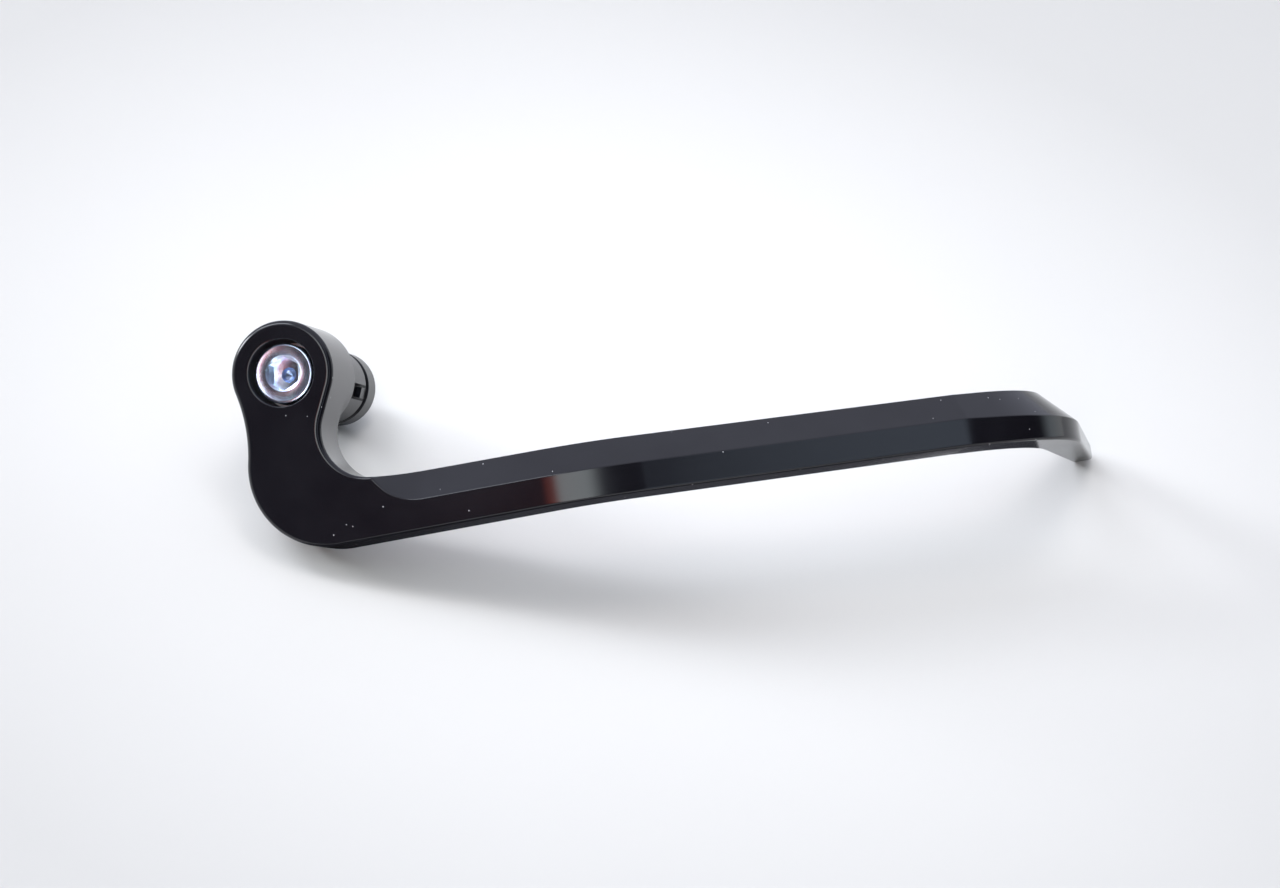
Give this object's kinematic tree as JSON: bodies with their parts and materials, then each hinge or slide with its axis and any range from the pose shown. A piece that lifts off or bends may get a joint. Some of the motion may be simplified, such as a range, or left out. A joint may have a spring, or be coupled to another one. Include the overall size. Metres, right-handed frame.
{
  "type": "handlebar lever guard",
  "caption": "Machined aluminium lever guard: a bent bar with a round boss, held in the end of a handlebar by a screw-operated expanding plug.",
  "frame": {"origin": "on the boss and plug axis, at the seat face at the back of the boss", "axes": "+Y along the plug into the handlebar, +X along the arm away from the boss, +Z from the arm up towards the boss"},
  "size_m": [0.1306, 0.0821, 0.0397],
  "materials": {
    "black_anodised": "satin black anodised, machined",
    "zinc_steel": "bright zinc plated",
    "black_plug": "smooth black anodised, turned",
    "ring_rubber": "matt"
  },
  "bodies": {
    "guard": {"guard_arm": "black_anodised"},
    "plug": {"seat_bush": "black_plug", "o_ring": "ring_rubber"},
    "screw": {"clamp_screw": "zinc_steel", "head_washer": "zinc_steel"},
    "nut": {"cone_nut": "black_plug"},
    "wedge_1": {"segment_1": "black_plug"},
    "wedge_2": {"segment_2": "black_plug"},
    "wedge_3": {"segment_3": "black_plug"}
  },
  "joints": [
    {"name": "arm_swivel", "type": "hinge", "parent": "guard", "child": "plug", "pos_m": [0, 0, 0], "axis": [0, 1, 0], "continuous": true},
    {"name": "screw_turn", "type": "hinge", "parent": "plug", "child": "screw", "pos_m": [0, 0, 0], "axis": [0, 1, 0], "range_deg": [0, 432]},
    {"name": "nut_draw", "type": "slide", "parent": "plug", "child": "nut", "axis": [0, -1, 0], "range_m": [0, 0.0012]},
    {"name": "segment_1_spread", "type": "hinge", "parent": "plug", "child": "wedge_1", "pos_m": [0.00362, 0.002, 0.00283], "axis": [0.6157, 0, -0.788], "range_deg": [0, 3.3]},
    {"name": "segment_2_spread", "type": "hinge", "parent": "plug", "child": "wedge_2", "pos_m": [-0.00426, 0.002, 0.00172], "axis": [0.3746, 0, 0.9272], "range_deg": [0, 3.3]},
    {"name": "segment_3_spread", "type": "hinge", "parent": "plug", "child": "wedge_3", "pos_m": [0.00064, 0.002, -0.00456], "axis": [-0.9903, 0, -0.1392], "range_deg": [0, 3.3]}
  ],
  "couplings": [
    {"joint": "screw_turn", "follows": "nut_draw", "rad_per_m": 6283.2},
    {"joint": "segment_1_spread", "follows": "nut_draw", "rad_per_m": 47.996},
    {"joint": "segment_2_spread", "follows": "nut_draw", "rad_per_m": 47.996},
    {"joint": "segment_3_spread", "follows": "nut_draw", "rad_per_m": 47.996}
  ]
}
